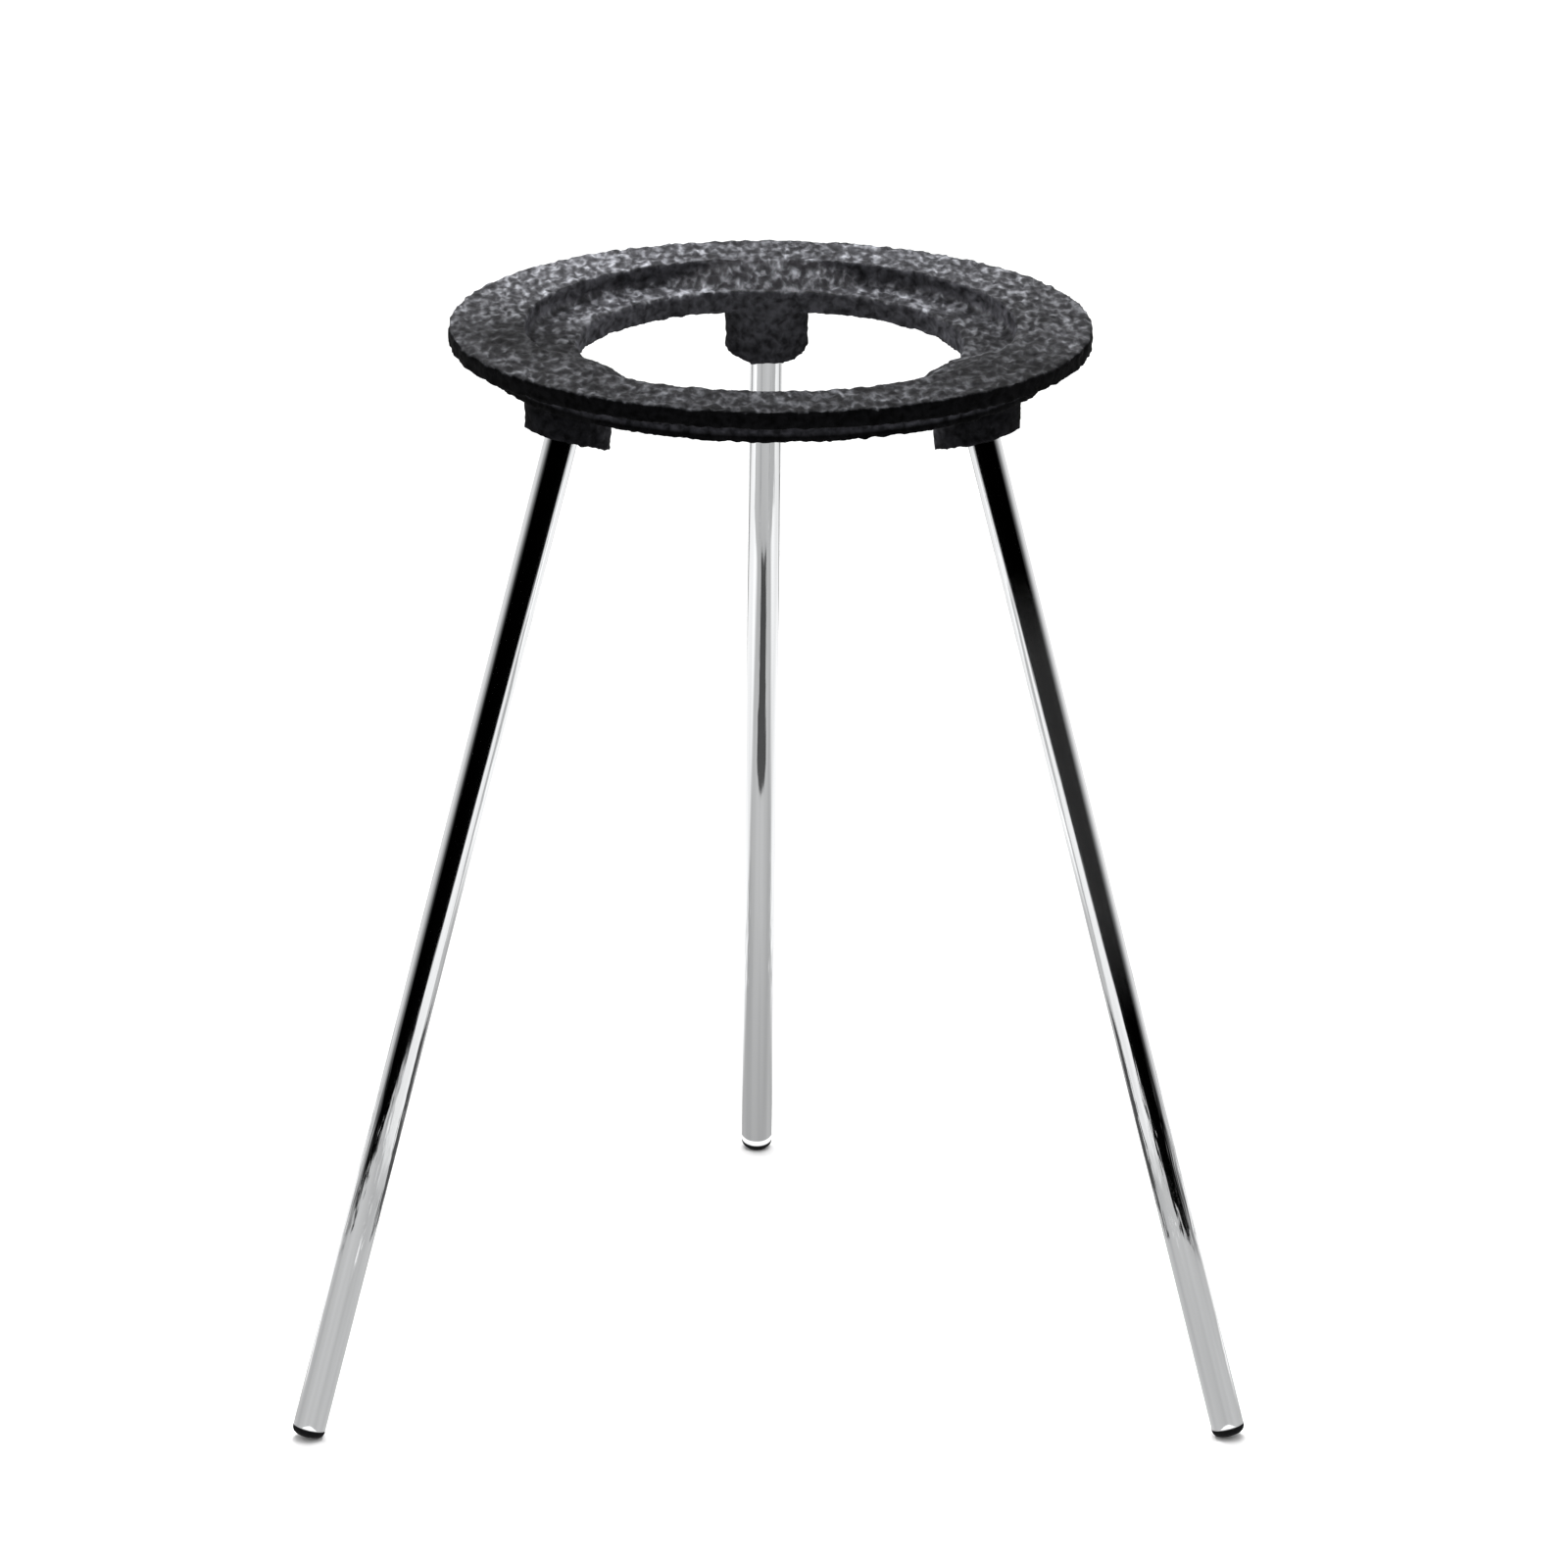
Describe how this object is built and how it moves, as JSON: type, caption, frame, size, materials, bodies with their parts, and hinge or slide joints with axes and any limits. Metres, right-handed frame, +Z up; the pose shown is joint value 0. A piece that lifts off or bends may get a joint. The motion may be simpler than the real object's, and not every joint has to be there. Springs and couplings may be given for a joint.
{
  "type": "lab tripod stand",
  "caption": "Tripod stand for heating glassware over a burner: a flat cast-iron ring with a recessed round opening, on splayed bright steel rod legs that screw in underneath.",
  "frame": {"origin": "on the floor, directly under the centre of the ring", "axes": "+Z up along the ring's axis; the rear leg leans out towards +Y and the other two stand either side of -Y"},
  "size_m": [0.1878, 0.1709, 0.2135],
  "materials": {
    "ring_iron": "rough sand-cast surface with a thin black paint",
    "leg_plate": "bright nickel plate on drawn rod, with faint lengthways marks"
  },
  "bodies": {
    "root": {"ring": "ring_iron", "leg_front_left": "leg_plate", "leg_front_right": "leg_plate", "leg_rear": "leg_plate"}
  },
  "joints": []
}
